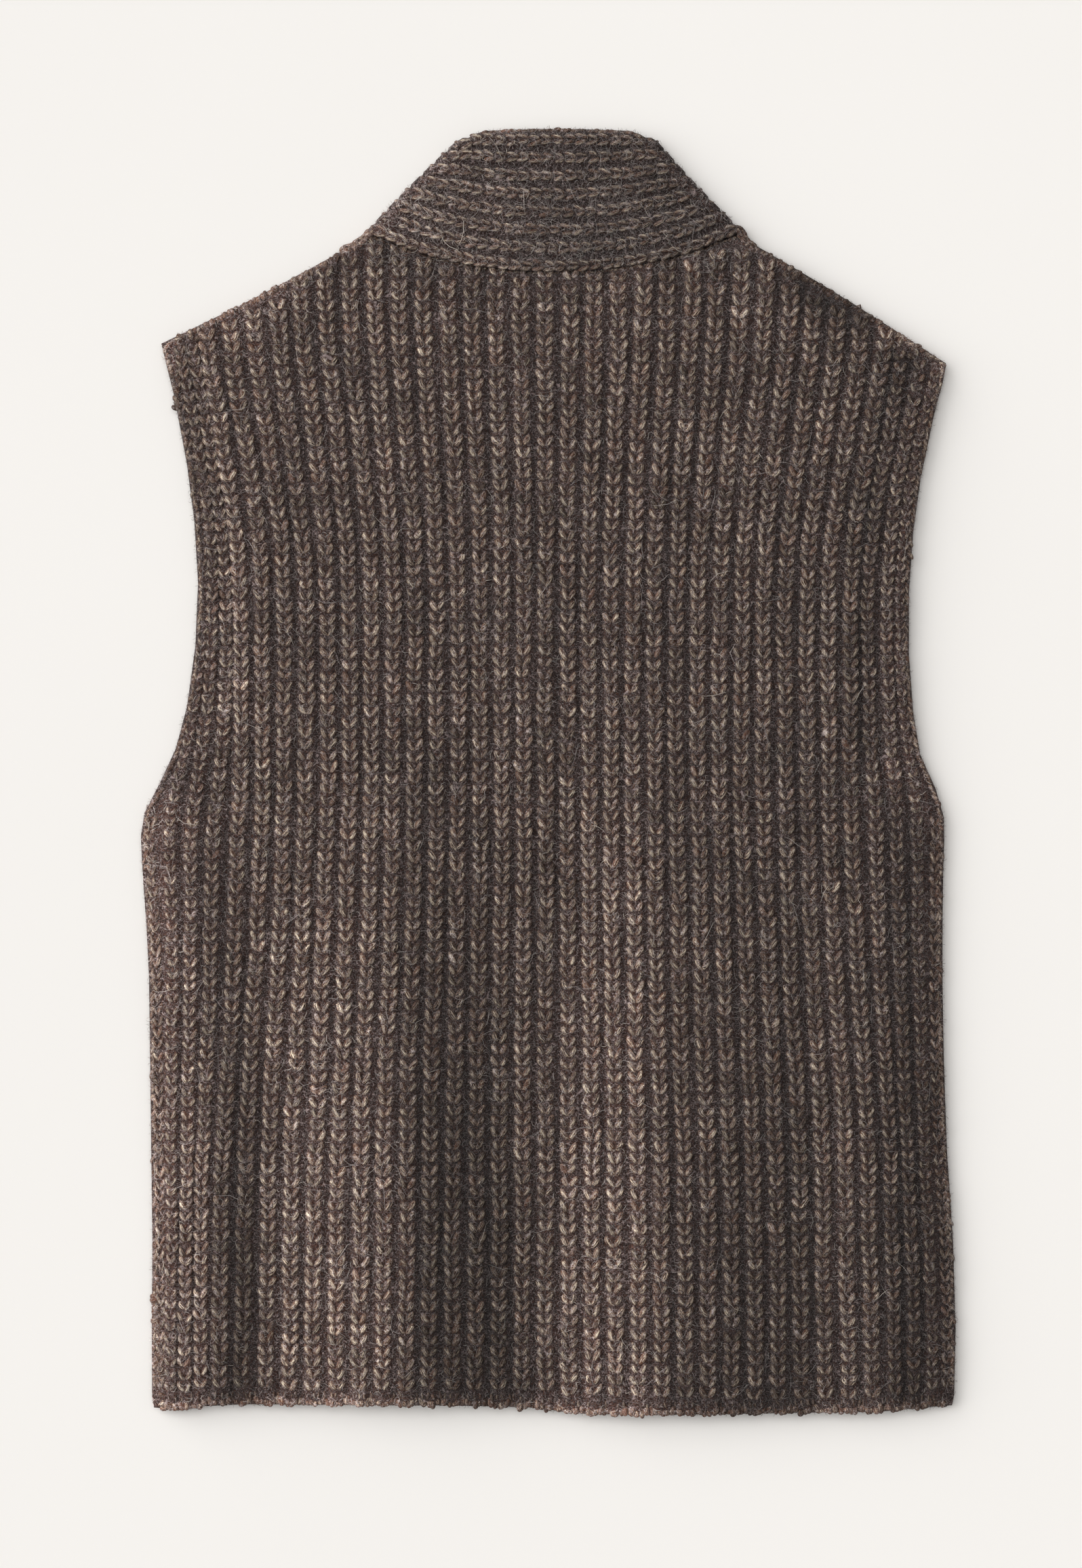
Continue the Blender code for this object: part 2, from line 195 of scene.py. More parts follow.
def makeYarn():
    # Marl wool, loosely spun and plied: matt, with pale and rusty bundles along a dark brown yarn.
    material, tree, shader = newMaterial("marl wool yarn", 0.92)
    look = yarnLook
    strand, strandParts = readAttribute(tree, "strand")
    tone, toneParts = readAttribute(tree, "tone")
    across, lengthwise = look["yarnHalf"] / look["plyWidth"], look["legHalf"] / look["plyLength"]
    seeds = addNode(tree, "ShaderNodeVectorMath", product, {1: (91.0, 57.0, 73.0)}, {0: tone})
    along = addNode(tree, "ShaderNodeMapping",
                    values={"Scale": (across, lengthwise, across), "Rotation": (0, 0, look["twist"])},
                    links={"Vector": strand})
    where = addNode(tree, "ShaderNodeVectorMath", total, links={0: along, 1: seeds})
    plies = addNode(tree, "ShaderNodeTexNoise",
                    values={"Scale": 1.0, "Detail": 3.0, "Roughness": 0.65, "Distortion": 0.6},
                    links={"Vector": where}).outputs["Fac"]
    base = addNode(tree, "ShaderNodeValToRGB", links={"Fac": plies})
    setRamp(base, ((0.38, look["dark"]), (0.48, look["brown"]), (0.57, look["grey"]),
                   (0.68, look["pale"])))
    rusty = addNode(tree, "ShaderNodeMix", colourMix, {"B": linear(look["rust"])},
                    {"A": base, "Factor": toneParts["Y"]})

    # The pale bundles on a leg's crest, brightest in its middle: marl plies and a painted highlight.
    low, high = look["streak"]
    pale = addNode(tree, "ShaderNodeMapRange", easedRange, {"From Min": low, "From Max": high},
                   {"Value": plies})
    for axis, (end, full) in look["crest"].items():
        off = addNode(tree, "ShaderNodeMath", unsigned, links={0: strandParts[axis]})
        crest = addNode(tree, "ShaderNodeMapRange", easedRange, {"From Min": end, "From Max": full},
                        {"Value": off})
        pale = addNode(tree, "ShaderNodeMath", product, links={0: pale, 1: crest})
    streak = addNode(tree, "ShaderNodeMath", product, links={0: pale, 1: toneParts["Z"]})
    lit = addNode(tree, "ShaderNodeMix", colourMix, {"B": linear(look["cream"])},
                  {"A": rusty.outputs["Result"], "Factor": streak})
    finishWool(tree, shader, look, lit.outputs["Result"], plies, toneParts["X"])
    shader.inputs["Sheen Tint"].default_value = linear(look["sheenTint"])
    return material


groundLook = {
    "deep": "#130b09",
    "dark": "#341f1a",
    "mid": "#593a30",
    "light": "#8a6859",
    "fibre": "#cbb6b3",
    "web": 0.6,
    "tuft": 1.0,  # mm across one tuft of matted wool
    # painted shade: the ground is painted darker between the ribs by this
    "valleyShade": 0.48,  # how much darker the wool is between the ribs than on them
    "bump": 1.0,
    "relief": 1.2,  # mm
    "sheen": 0.1,
}


def makeGround():
    # The same wool matted under the stitches, darker than the yarn; painted shade darkens its valleys.
    material, tree, shader = newMaterial("matted wool ground", 0.95)
    look = groundLook
    place = addNode(tree, "ShaderNodeTexCoord")
    _, toneParts = readAttribute(tree, "tone")
    tufts = addNode(tree, "ShaderNodeTexNoise",
                    values={"Scale": 1 / (look["tuft"] * mm), "Detail": 3.0, "Roughness": 0.75,
                            "Distortion": 1.2}, links={"Vector": place.outputs["Object"]})
    base = addNode(tree, "ShaderNodeValToRGB", links={"Fac": tufts.outputs["Fac"]})
    setRamp(base, ((0.34, look["deep"]), (0.47, look["dark"]), (0.57, look["mid"]),
                   (0.7, look["light"])))
    # painted shade: darker between the ribs than on them
    crest = addNode(tree, "ShaderNodeMapRange", values={"To Min": look["valleyShade"], "To Max": 1.0},
                    links={"Value": toneParts["Y"]})
    crested = addNode(tree, "ShaderNodeVectorMath", scaled, links={0: base, "Scale": crest})
    finishWool(tree, shader, look, crested, tufts.outputs["Fac"], toneParts["X"])
    return material


fuzzLook = ((0.0, "#5d5048"), (0.3, "#978c86"), (0.7, "#c2bab6"), (1.0, "#ede3d6"))


def makeFuzz():
    # Single wool fibres that stand off the yarn: thin, a little glossy, grey to cream.
    material, tree, shader = newMaterial("stray wool fibre", 0.6)
    _, toneParts = readAttribute(tree, "tone")
    base = addNode(tree, "ShaderNodeValToRGB", links={"Fac": toneParts["X"]})
    setRamp(base, fuzzLook)
    # painted shade: scaled by the cloth's painted shade where the fibre starts
    colour = addNode(tree, "ShaderNodeVectorMath", scaled,
                     links={0: base, "Scale": toneParts["Y"]})
    tree.links.new(colour.outputs[0], shader.inputs["Base Color"])
    shader.inputs["Specular IOR Level"].default_value = 0.25
    shader.inputs["Sheen Weight"].default_value = 0.15
    return material


paperLook = {"darker": "#f4f1ed", "lighter": "#f5f2ee", "cloud": 333.0}  # cloud is in mm


def makeFloor():
    # A sheet of matt white paper: even, with the faintest mottling.
    material, tree, shader = newMaterial("matt white paper", 0.95)
    place = addNode(tree, "ShaderNodeTexCoord")
    mottle = addNode(tree, "ShaderNodeTexNoise",
                     values={"Scale": 1 / (paperLook["cloud"] * mm), "Detail": 2.0},
                     links={"Vector": place.outputs["Object"]})
    base = addNode(tree, "ShaderNodeValToRGB", links={"Fac": mottle.outputs["Fac"]})
    setRamp(base, ((0.3, paperLook["darker"]), (0.7, paperLook["lighter"])))
    tree.links.new(base.outputs["Color"], shader.inputs["Base Color"])
    return material


yarn, ground, fuzzFibre, paper = makeYarn(), makeGround(), makeFuzz(), makeFloor()
print("materials made")

view = {
    "pixels": (1596, 2313),
    "mmPerPixel": 0.39,
    "centrePixel": (809.0, 1138.5),  # the pixel over the garment's own centre
    "distance": 5000.0,
    "sensor": 36.0,
}


def addObject(name, data):
    made = bpy.data.objects.new(name, data)
    bpy.context.scene.collection.objects.link(made)
    return made


def makeCamera():
    wide, tall = view["pixels"]
    scale = view["mmPerPixel"]
    x = (wide / 2 - view["centrePixel"][0]) * scale
    y = (view["centrePixel"][1] - tall / 2) * scale
    data = bpy.data.cameras.new("straight down")
    data.sensor_width = view["sensor"]
    data.lens = view["sensor"] * view["distance"] / (tall * scale)
    data.clip_end = 100.0
    camera = addObject("straight down", data)
    camera.location = (x * mm, y * mm, view["distance"] * mm)
    bpy.context.scene.camera = camera


floorSize = {"half": 8.0, "drop": 0.0001}  # metres


def makeFloorSheet():
    bm = bmesh.new()
    bmesh.ops.create_grid(bm, x_segments=2, y_segments=2, size=floorSize["half"])
    bmesh.ops.translate(bm, vec=(0, 0, -floorSize["drop"]), verts=bm.verts)
    mesh = bpy.data.meshes.new("floor")
    bm.to_mesh(mesh)
    bm.free()
    mesh.materials.append(paper)
    addObject("floor", mesh)


light = {
    # azimuth from +X and elevation that it comes from in degrees, strength, softness
    "side softbox": (158.0, 19.0, 3.3, 80.0),
    "overhead softbox": (120.0, 80.0, 1.22, 50.0),
}
room = {"colour": (1.0, 0.985, 0.97, 1.0), "strength": 0.255}


def makeLights():
    for name, (azimuth, elevation, strength, softness) in light.items():
        lamp = bpy.data.lights.new(name, "SUN")
        lamp.energy = strength
        lamp.angle = math.radians(softness)
        holder = addObject(name, lamp)
        a, e = math.radians(azimuth), math.radians(elevation)
        source = Vector((math.cos(a) * math.cos(e), math.sin(a) * math.cos(e), math.sin(e)))
        holder.rotation_mode = "QUATERNION"
        holder.rotation_quaternion = source.to_track_quat("Z", "Y")
    world = bpy.data.worlds.new("pale room")
    world.use_nodes = True
    back = world.node_tree.nodes["Background"]
    back.inputs["Color"].default_value = room["colour"]
    back.inputs["Strength"].default_value = room["strength"]
    bpy.context.scene.world = world
    bpy.context.scene.view_settings.view_transform = "Standard"


makeCamera()
makeFloorSheet()
makeLights()
print("camera, floor and light made")

graph = bpy.context.evaluated_depsgraph_get()
finders = {node: BVHTree.FromObject(nodes[node], graph) for node in nodes}


def heightOf(node, x, y):
    # the top of a node's solid over a point, or None beside it
    hit = finders[node].ray_cast(Vector((x * mm, y * mm, 0.1)), Vector((0, 0, -1)))[0]
    return None if hit is None else hit.z / mm


def onBack(point):
    level = heightOf("back", *point[:2])
    return None if level is None else np.array((*point[:2], level))


def onCollar(point):
    return np.array(finders["collar"].find_nearest(Vector(point * mm))[0]) / mm


def slopeUp(x, y, reach):
    # the way up from the back's cloth, over its folds and rolled edges
    middle = heightOf("back", x, y)
    if middle is None:
        return np.array((0.0, 0.0, 1.0))
    heights = [heightOf("back", x + dx, y + dy)
               for dx, dy in ((-reach, 0), (reach, 0), (0, -reach), (0, reach))]
    west, east, south, north = [middle if h is None else h for h in heights]
    return unit(np.array(((west - east) / (2 * reach), (south - north) / (2 * reach), 1.0)))


def traceEdge(node, insides, outsides):
    # the solid's outline between points inside and outside it, and the ways out of it
    points = []
    for inside, outside in zip(insides, outsides):
        inside, outside = np.array(inside, float), np.array(outside, float)
        for _ in range(15):
            middle = (inside + outside) / 2
            if heightOf(node, *middle) is None:
                outside = middle
            else:
                inside = middle
        points.append(inside)
    points = np.array(points)
    ways = unit(np.gradient(points, axis=0))
    outs = np.stack([ways[:, 1], -ways[:, 0]], axis=1)
    towards = np.array(outsides, float) - np.array(insides, float)
    return points, outs * np.sign(np.sum(outs * towards, axis=1, keepdims=True))


sideYs, hemXs = np.arange(-360.0, 256.0, 4.0), np.arange(-228.0, 229.0, 4.0)
topXs, collarYs = np.arange(-222.0, 227.0, 4.0), np.arange(312.0, 362.0, 3.0)
collarXs = np.arange(-44.0, 56.0, 3.0)
outlines = {}
for name, node, places, inside, outside in (
        ("left", "back", sideYs, -60, -260), ("right", "back", sideYs, 60, 260),
        ("hem", "back", hemXs, -300, -400), ("top", "back", topXs, 150, 400),
        ("collarLeft", "collar", collarYs, 0, -200), ("collarRight", "collar", collarYs, 0, 200),
        ("collarTop", "collar", collarXs, 340, 400)):
    # along Y for a side's places, and along X for the others
    upright = places is sideYs or places is collarYs
    outlines[name] = traceEdge(node, *(
        [(level, place) if upright else (place, level) for place in places]
        for level in (inside, outside)))


def sideX(side, y):
    return np.interp(y, sideYs, outlines["left" if side < 0 else "right"][0][:, 0])


def hemY(x):
    return np.interp(x, hemXs, outlines["hem"][0][:, 1])


def topY(x):
    return np.interp(x, topXs, outlines["top"][0][:, 1])


neckline = {"middle": 3.0, "underCollar": 106.0, "lowest": 286.8, "rise": 22.0, "half": 107.0,
            "power": 2.2}


def besideCollar(x):
    return abs(x - neckline["middle"]) > neckline["underCollar"]


# Painted light and shade in the back's tone; only the patches are the yarn's own uneven tone.
relief = {
    "base": 0.885,
    "gain": 10.8,
    "darkest": 0.5,
    "lightest": 1.5,
    "reach": 13.0,  # a rib's pitch, so that it is the fold's slope and not the rib's
    "edge": 24.0,  # nearer to a side than this, the shade is the one there
    # the rolled left edge faces the light, but not at the armhole: (y, how much)
    "leftGlow": ((-345.0, 0.0), (-300.0, 0.05), (-250.0, 0.28), (-180.0, 0.12), (-100.0, 0.08),
                 (-24.0, 0.24), (50.0, -0.36), (240.0, -0.38)),
    "rightGlow": 0.72,
    "glowWidth": 34.0,
    "fallOff": 0.0006,  # a mm, away from the light
    # painted light: the thin rolled edges are painted paler, to this far in
    "rims": {"left": (0.1, 3.5), "right": (0.55, 4.0), "hem": (0.7, 7.0), "top": (0.55, 4.0)},
    "patches": ((21.0, 0.045), (36.0, 0.05), (70.0, 0.04)),  # size, depth of the yarn's uneven tone
}
foldGrid = {"x": -236.5, "y": -368.0, "stepX": 2.15, "stepY": 8.0, "columns": 221, "rows": 93,
            "top": 274.0}  # above this, by the neckline, the folds are the ones there


def measureFolds():
    # how steeply the back rises towards +X, on a grid, with its ribs smoothed away
    xs = foldGrid["x"] + foldGrid["stepX"] * np.arange(foldGrid["columns"])
    onePitch = np.array((0.5, 1, 1, 1, 1, 1, 0.5)) / 6
    table = np.zeros((foldGrid["rows"], foldGrid["columns"]))
    for row in range(foldGrid["rows"]):
        y = foldGrid["y"] + foldGrid["stepY"] * row
        heights = np.array([heightOf("back", x, y) or np.nan for x in xs])
        known = np.isfinite(heights)
        if known.any():
            heights = np.interp(xs, xs[known], heights[known])
            for _ in range(2):
                heights = np.convolve(np.pad(heights, 3, mode="edge"), onePitch, "valid")
            table[row] = np.gradient(heights, foldGrid["stepX"])
    padded = np.pad(table, ((1, 1), (0, 0)), mode="edge")
    return (padded[:-2] + 2 * table + padded[2:]) / 4


foldSlopes = measureFolds()


def foldSlope(x, y):
    across = np.clip((x - foldGrid["x"]) / foldGrid["stepX"], 0, foldGrid["columns"] - 1.001)
    upward = max((min(y, foldGrid["top"]) - foldGrid["y"]) / foldGrid["stepY"], 0.0)
    i, j = int(across), int(upward)
    near, far = (foldSlopes[row, i] + (foldSlopes[row, i + 1] - foldSlopes[row, i]) * (across - i)
                 for row in (j, j + 1))
    return near + (far - near) * (upward - j)


patchWaves = [(size, depth, rng.uniform(0, math.pi), rng.uniform(0, 2 * math.pi))
              for size, depth in relief["patches"] for _ in range(3)]


def patchTone(x, y):
    waves = [depth * math.sin((x * math.cos(turn) + y * math.sin(turn)) * 2 * math.pi / size + start)
             for size, depth, turn, start in patchWaves]
    return math.exp(sum(waves))


def clothToneAndPaintedShade(x, y):
    # Painted shade: lighter where the back rises towards the right, darker where it falls.
    left, right = sideX(-1, y), sideX(1, y)
    inner = min(max(x, left + relief["edge"]), right - relief["edge"])
    fold = np.clip(math.exp(relief["gain"] * foldSlope(inner, y)), relief["darkest"],
                   relief["lightest"])
    # painted light at the rolled edges, and painted shade at the armhole
    glow = np.interp(y, *zip(*relief["leftGlow"])) * (1 - smooth((x - left) / relief["glowWidth"]))
    glow += relief["rightGlow"] * (1 - smooth((right - x) / relief["glowWidth"]))
    insides = {"left": x - left, "right": right - x, "hem": y - hemY(x)}
    if besideCollar(x):
        insides["top"] = topY(x) - y
    for rim, inside in insides.items():
        amount, width = relief["rims"][rim]
        glow += amount * (1 - smooth(inside / width))
    # painted shade away from the light, and the yarn's own uneven tone
    return relief["base"] * fold * (1 + glow) * (1 - relief["fallOff"] * x) * patchTone(x, y)


cloth = {
    "footing": 1.0,  # the lower layer's ground stands this high, on its flattened stitches
    "ribRise": 1.6,
    # painted shade on the collar's upper side: (x, how light)
    "collarToneAndPaintedShade": ((-95.0, 1.55), (-60.0, 1.2), (-30.0, 1.05), (30.0, 0.76), (105.0, 0.8)),
    "lowerTop": 5.5,  # the height of the lower layer's upper side
    # from a rib to the valleys beside it
    "upright": ((-6.4, 0), (-4.5, 0), (4.5, 0), (6.4, 0)),
    "lengthwise": ((0, -5), (0, 5)),
}
clothPieces = {}


def collarToneAndPaintedShade(x, y, height=9.0):
    # painted shade, darker to the right where the collar turns from the light; none on the flat lower
    # layer
    turned = np.interp(x, *zip(*cloth["collarToneAndPaintedShade"])) - 1
    return (1 + turned * smooth(height / cloth["lowerTop"])) * patchTone(x, y)


def crestShare(node, x, y):
    # 1 on a rib and 0 between two of them
    level = heightOf(node, x, y)
    steps = cloth["upright" if node == "back" else "lengthwise"]
    beside = [heightOf(node, x + dx, y + dy) for dx, dy in steps]
    beside = [h for h in beside if h is not None]
    if level is None or not beside:
        return 0.5
    return np.clip((level - min(beside)) / cloth["ribRise"], 0, 1)


def addPiece(name, mesh, material):
    mesh.shade_smooth()
    mesh.materials.append(material)
    piece = addObject(name, mesh)
    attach(piece, "root")
    return piece


def makeCloth(name, node, restsOn):
    bm = bmesh.new()
    bm.from_mesh(nodes[node].data)
    bmesh.ops.remove_doubles(bm, verts=bm.verts, dist=0.01 * mm)
    for v in bm.verts:
        v.co.z = max(v.co.z, cloth["footing"] * mm)
    bmesh.ops.recalc_face_normals(bm, faces=bm.faces)
    planArea = sum(f.calc_area() * max(f.normal.z, 0.0) for f in bm.faces)
    mesh = bpy.data.meshes.new(name)
    bm.to_mesh(mesh)
    bm.free()
    layer = mesh.attributes.new("tone", "FLOAT_VECTOR", "POINT")
    for vertex, value in zip(mesh.vertices, layer.data):
        x, y = vertex.co.x / mm, vertex.co.y / mm
        # the back's tone and the collar's carry painted shade
        tone = clothToneAndPaintedShade(x, y) if node == "back" else collarToneAndPaintedShade(x, y, vertex.co.z / mm)
        value.vector = (tone, crestShare(node, x, y), 0.0)
    clothPieces[node] = {"piece": addPiece(name, mesh, ground), "area": planArea,
                         "restsOn": restsOn, "with": []}


makeCloth("frontLeftCloth", "front_left", ["floor"])
makeCloth("frontRightCloth", "front_right", ["floor"])
makeCloth("collarCloth", "collar", ["floor"])
makeCloth("backCloth", "back", ["frontLeftCloth", "frontRightCloth"])
print("cloth made")


def stitchTemplate(around, rings, fullness):
    # one leg of a stitch, from -1 to 1 along Y: a full grain shape, as (points, triangles)
    bm = bmesh.new()
    bmesh.ops.create_uvsphere(bm, u_segments=around, v_segments=rings, radius=1.0)
    turn = Matrix.Rotation(math.radians(90), 3, "X") @ Matrix.Rotation(math.pi / 2, 3, "Z")
    bmesh.ops.rotate(bm, verts=bm.verts, matrix=turn)
    for v in bm.verts:
        radius = math.hypot(v.co.x, v.co.z)
        if radius > 0.01:
            swell = math.sqrt(max(1 - abs(v.co.y) ** fullness, 0.0)) / radius
            v.co.x *= swell
            v.co.z *= swell
    bmesh.ops.triangulate(bm, faces=bm.faces)
    return templateArrays(bm)


def templateArrays(bm):
    # the operators leave faces in a different order each time, so they are sorted
    bm.verts.index_update()
    points = np.array([v.co for v in bm.verts])
    corners = [[v.index for v in f.verts] for f in bm.faces]
    starts = [row.index(min(row)) for row in corners]
    triangles = sorted(row[start:] + row[:start] for row, start in zip(corners, starts))
    bm.free()
    return points, np.array(triangles)


def joinedPiece(name, points, triangles, attributes, material):
    # one mesh of many small shapes, from points in millimetres
    mesh = bpy.data.meshes.new(name)
    mesh.vertices.add(len(points))
    mesh.vertices.foreach_set("co", (points * mm).astype(np.float32).ravel())
    mesh.loops.add(triangles.size)
    mesh.loops.foreach_set("vertex_index", triangles.astype(np.int32).ravel())
    mesh.polygons.add(len(triangles))
    mesh.polygons.foreach_set("loop_start", np.arange(0, triangles.size, 3, dtype=np.int32))
    mesh.update(calc_edges=True)
    for key, values in attributes.items():
        layer = mesh.attributes.new(key, "FLOAT_VECTOR", "POINT")
        layer.data.foreach_set("vector", values.astype(np.float32).ravel())
    mesh.validate()
    print(name, len(triangles), "triangles")
    return addPiece(name, mesh, material)


def joinLegs(name, legs, template, lowest=0.05):
    # legs is a list of rows: centre, along, up, half sizes, dive, tone
    table = np.array(legs)
    centre, along, up = table[:, 0:3], unit(table[:, 3:6]), table[:, 6:9]
    halves, dive, tone = table[:, 9:12], table[:, 12:13], table[:, 13:16]
    side = unit(np.cross(along, up))
    up = np.cross(side, along)
    points, triangles = template
    x, y, z = (points[:, i][None, :, None] for i in range(3))
    wide, long, tall = (halves[:, i][:, None, None] for i in range(3))
    made = centre[:, None] + side[:, None] * x * wide + along[:, None] * y * long
    made = made + up[:, None] * (z * tall - dive[:, None] * y * y)
    made = made.reshape(-1, 3)
    made[:, 2] = np.maximum(made[:, 2], lowest)
    faces = triangles[None] + (np.arange(len(table)) * len(points))[:, None, None]
    attributes = {"strand": np.tile(points, (len(table), 1)),
                  "tone": np.repeat(tone, len(points), axis=0)}
    return joinedPiece(name, made, faces.reshape(-1, 3), attributes, yarn)


stitch = {
    "row": 6.6,  # from one stitch to the next along a rib
    "spread": 2.4,  # a leg's middle from the middle of its rib
    "tilt": 30.0,
    "roll": 22.0,  # a leg leans out over the side of its rib
    "halfWide": 1.95,
    "halfLong": 4.05,
    "halfTall": 1.5,
    "dive": 1.3,  # how far its two ends sink
    "proud": 0.1,  # how far its middle lies over the ground
    "uneven": 0.2,
    "pale": 0.92,
    "keepLength": 1.05,  # a narrow stitch is shorter too, by this much less
    "tiltNoise": 4.5,
    "placeNoise": 0.3,
    "sizeNoise": 0.08,
}
# How the marl changes: mean, spread, least and most; the pale streak's mean is the stitch's own.
marl = {
    "stitch": (1.0, 0.1, 0.7, 1.3),
    "leg": (0.98, 0.12, 0.6, 1.4),
    "rust": (0.05, 0.16, 0.0, 0.5),
    "pale": (0.33, 0.0, 1.2),
}


def vary(mean, spread, least, most):
    return np.clip(rng.normal(mean, spread), least, most)


def legTone(pale, shade):
    # lightness with its painted shade, rust and pale streak of one leg
    return shade * vary(*marl["leg"]), vary(*marl["rust"]), vary(pale, *marl["pale"])


def addStitch(legs, place, tip, up, scale=1.0, squash=1.0, look=stitch, settle=None, shade=1.0):
    # a V of two legs; tip is the way its point shows, and settle puts a leg on the cloth
    side = np.cross(tip, up)
    shade = shade * vary(*marl["stitch"])
    proud = look["proud"] + rng.normal(0, look["uneven"])
    for sign in (-1, 1):
        tilt = math.radians(look["tilt"] + rng.normal(0, look["tiltNoise"]))
        roll = math.radians(look["roll"])
        along = tip * math.cos(tilt) - side * sign * math.sin(tilt)
        out = up * math.cos(roll) + side * sign * math.sin(roll)
        centre = place + side * sign * look["spread"] * scale
        centre = centre + rng.normal(0, look["placeNoise"], 3)
        if settle is not None:
            centre = settle(centre)
            if centre is None:
                continue
        halves = np.array((look["halfWide"] * scale,
                           look["halfLong"] * min(scale * look["keepLength"], 1.0),
                           look["halfTall"] * squash)) * rng.normal(1, look["sizeNoise"], 3)
        legs.append((*(centre + up * proud * squash), *along, *out, *halves, look["dive"] * squash,
                     *legTone(look["pale"], shade)))


legTemplate = stitchTemplate(5, 6, 2.6)
flatTemplate = stitchTemplate(4, 3, 2.4)

# The back's ribs, as the solids have them.
rib = {
    "centre": -1.6,
    "each": 14,
    "zone": 43.5,
    "crest": 0.27,
    "seamColumns": (34.2, 23.5, 13.3),  # from a side seam
    "armholeColumns": (33.8, 18.6, 7.7),  # from an armhole
    "sideWidths": (0.88, 0.82, 0.74),
    "armholeTop": 20.0,
    "underarm": 50.0,
    "firstRow": 12.5,
    "lastRow": 5.5,
    "seamRow": 0.8,  # the same under the collar
    "usualPitch": 12.9,
    "narrowest": (0.04, 0.04, 0.14),  # how much less of that width is left beside an armhole
    # the hem's first row and the others rise and fall a little, and a rib sways: size, mm a turn
    "firstWave": (1.2, 41.0, 1.0),
    "rowWave": (0.03, 47.0, 90.0),
    "sway": ((0.35, 31.0), (0.25, 11.0)),
}
ribPitch = np.array((
    # y, pitch
    (-369.5, 13.4), (-219.0, 13.25), (-114.0, 12.8), (-43.0, 12.6), (-8.0, 12.5), (97.0, 12.5),
    (132.0, 12.65), (167.0, 13.0), (202.0, 13.4), (237.0, 13.8), (272.0, 14.05),
))


def armholeShare(y):
    return smooth(1 - (rib["armholeTop"] - y) / rib["underarm"])


def ribX(column, y):
    # where a rib runs; column is a number from the centre rib, or (side, number) beside a seam
    pitch = np.interp(y, ribPitch[:, 0], ribPitch[:, 1])
    if not isinstance(column, tuple):
        return rib["centre"] + column * pitch
    side, number = column
    edge = sideX(side, y)
    last = rib["centre"] + side * (rib["each"] + rib["crest"]) * pitch
    narrowing = abs(edge - last) / rib["zone"]
    seam, armhole = rib["seamColumns"][number], rib["armholeColumns"][number]
    return edge - side * (seam + (armhole - seam) * armholeShare(y)) * narrowing


def ribWidth(column, y):
    # how wide its stitches are, as a share of a full rib's
    if not isinstance(column, tuple):
        return np.interp(y, ribPitch[:, 0], ribPitch[:, 1]) / rib["usualPitch"]
    number = column[1]
    return rib["sideWidths"][number] - rib["narrowest"][number] * armholeShare(y)


def addBackRib(legs, column):
    starts = rng.uniform(0, 2 * math.pi, 2)
    x = ribX(column, -300.0)
    rise, length, start = rib["firstWave"]
    y = hemY(x) + rib["firstRow"] + rise * math.sin(x / length + start)
    uneven, down, across = rib["rowWave"]
    while True:
        x = ribX(column, y)
        if y > topY(x) - rib["lastRow" if besideCollar(x) else "seamRow"]:
            break
        x += sum(sway * math.sin(y / turn + begin) for (sway, turn), begin in zip(rib["sway"], starts))
        ahead = ribX(column, y + 2.0)
        tip = unit(np.array((ribX(column, y) - ahead, -2.0, 0.0)))
        # a broad slope only, so that a leg's own rib doesn't turn it
        up = slopeUp(x, y, relief["reach"])
        tip = unit(tip - up * np.dot(tip, up))
        spot = np.array((x, y + rng.normal(0, 0.3), 0.0))
        addStitch(legs, spot, tip, up, ribWidth(column, y), settle=onBack, shade=clothToneAndPaintedShade(x, y))
        y += stitch["row"] * (1 + uneven * math.sin(y / down + x / across))


columns = [(-1, 2), (-1, 1), (-1, 0), *range(-rib["each"], rib["each"] + 1),
           (1, 0), (1, 1), (1, 2)]
backParts = {"backStitchesLeft": columns[:12], "backStitchesMiddle": columns[12:23],
             "backStitchesRight": columns[23:]}
for name, part in backParts.items():
    legs = []
    for column in part:
        addBackRib(legs, column)
    clothPieces["back"]["with"].append(joinLegs(name, legs, legTemplate))
print("back stitches made")

# The collar and front bands: one strip from hem to hem, round the neck, as the solids have it.
strip = {
    "topY": 369.4,
    "topBow": 1.6,
    "folds": (
        # side, seam end of the fold, free-edge end, way out of the fold, bow
        (-1, (-100.8, 309.4), (-46.0, 364.2), (-0.96, 0.05), 1.0),
        (1, (107.8, 309.4), (55.8, 364.4), (0.96, 0.02), -1.2),
    ),
    "ribs": 8,
    "firstRib": 0.04,
    "ribStep": 0.126,
    "backShares": (0.03, 0.09, 0.18, 0.29, 0.4, 0.5, 0.6, 0.71, 0.82, 0.91, 0.97),
    "foldAngles": (90, 50, 15, -20, -55, -90),
    "frontHeights": (300, 272, 244, 214, 184, 150, 116, 90, 66, -40, -150, -260),
    "bandWidth": 40.0,
    "frontGap": 0.6,
    "vBottom": 66.0,
    "vCurve": 1.3,
    "edgesMeet": 185.0,
    "edgeCurve": 1.1,
    "shoulderY": 308.2,
    "backWall": 3.4,
    "ribHeight": 2.0,
    "frontWall": 4.6,
    "gap": 0.3,
    "inset": 1.2,
    "seamLift": (1.4, 0.12),  # near the folds: mm, and over what share of the strip
    "edgeLift": 0.06,
}


def necklineY(x):
    outward = abs(x - neckline["middle"]) / neckline["half"]
    return neckline["lowest"] + neckline["rise"] * outward ** neckline["power"]


def bandSeamX(y, neckX):
    width = strip["bandWidth"]
    if y <= strip["vBottom"]:
        return width
    rise = min((y - strip["vBottom"]) / (strip["shoulderY"] - strip["vBottom"]), 1.0)
    return width + (neckX - width) * math.sin(math.pi / 2 * rise) ** strip["vCurve"]


